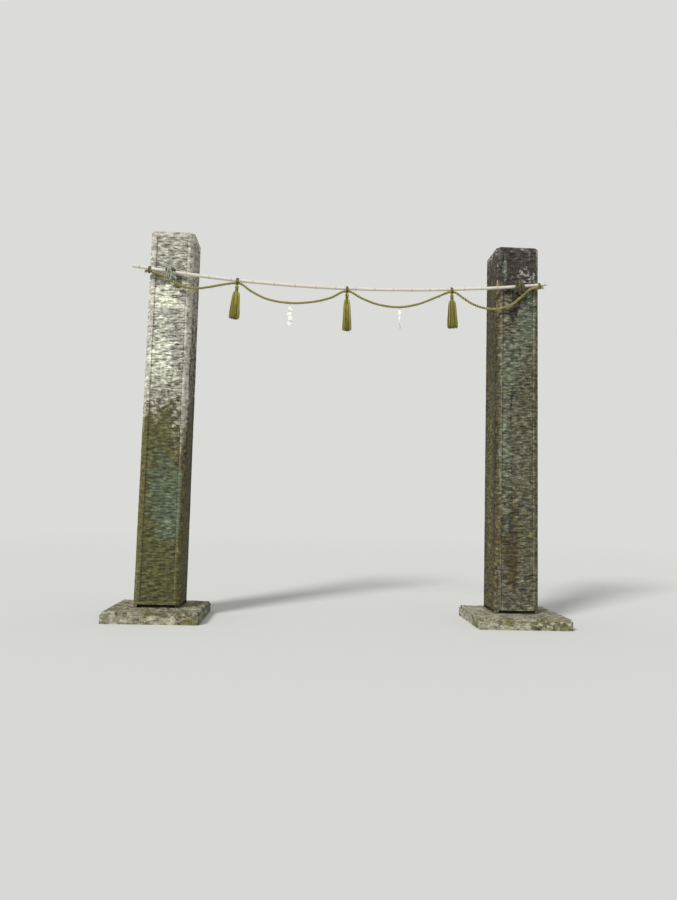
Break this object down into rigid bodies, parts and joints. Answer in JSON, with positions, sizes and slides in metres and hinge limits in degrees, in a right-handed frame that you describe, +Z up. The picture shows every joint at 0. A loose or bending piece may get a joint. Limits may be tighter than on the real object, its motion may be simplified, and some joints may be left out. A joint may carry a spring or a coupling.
{
  "type": "stone post rope gate",
  "caption": "Shrine approach gate: squared granite posts on stepped bases, a sagging bamboo pole across their fronts, and a hung straw rope with tassels and folded paper streamers.",
  "frame": {"origin": "on the ground, midway between the two posts and at the middle of the bases front to back", "axes": "+X along the pole from the left post to the right post, +Y from the front to the back, +Z up"},
  "size_m": [5.355, 1.035, 4.63],
  "materials": {
    "left_granite": "pointed faces with smooth margins, weathered, algae and lichen",
    "right_granite": "pointed faces with smooth margins, dark weathering and lichen",
    "base_granite": "rough dressed, mossy",
    "bamboo": "bleached bamboo skin",
    "iron": "rusted wrought iron",
    "straw": "weathered rice straw, twisted",
    "string": "hemp string",
    "paper": "folded white paper"
  },
  "bodies": {
    "root": {"left_shaft": "left_granite", "right_shaft": "right_granite", "left_base_slab": "base_granite", "right_base_slab": "base_granite", "left_footing_stone": "base_granite", "right_footing_stone": "base_granite", "bamboo_pole": "bamboo", "left_hook": "iron", "right_hook": "iron", "left_lashing": "straw", "right_lashing": "straw", "left_knot": "straw", "right_knot": "straw", "straw_rope": "straw", "left_end_tie": "straw", "left_tie": "straw", "middle_tie": "straw", "right_tie": "straw", "right_end_tie": "straw", "left_tassel": "straw", "middle_tassel": "straw", "right_tassel": "straw", "left_binding": "straw", "middle_binding": "straw", "right_binding": "straw", "left_carry_cord": "string", "right_carry_cord": "string", "left_streamer": "paper", "right_streamer": "paper"}
  },
  "joints": []
}
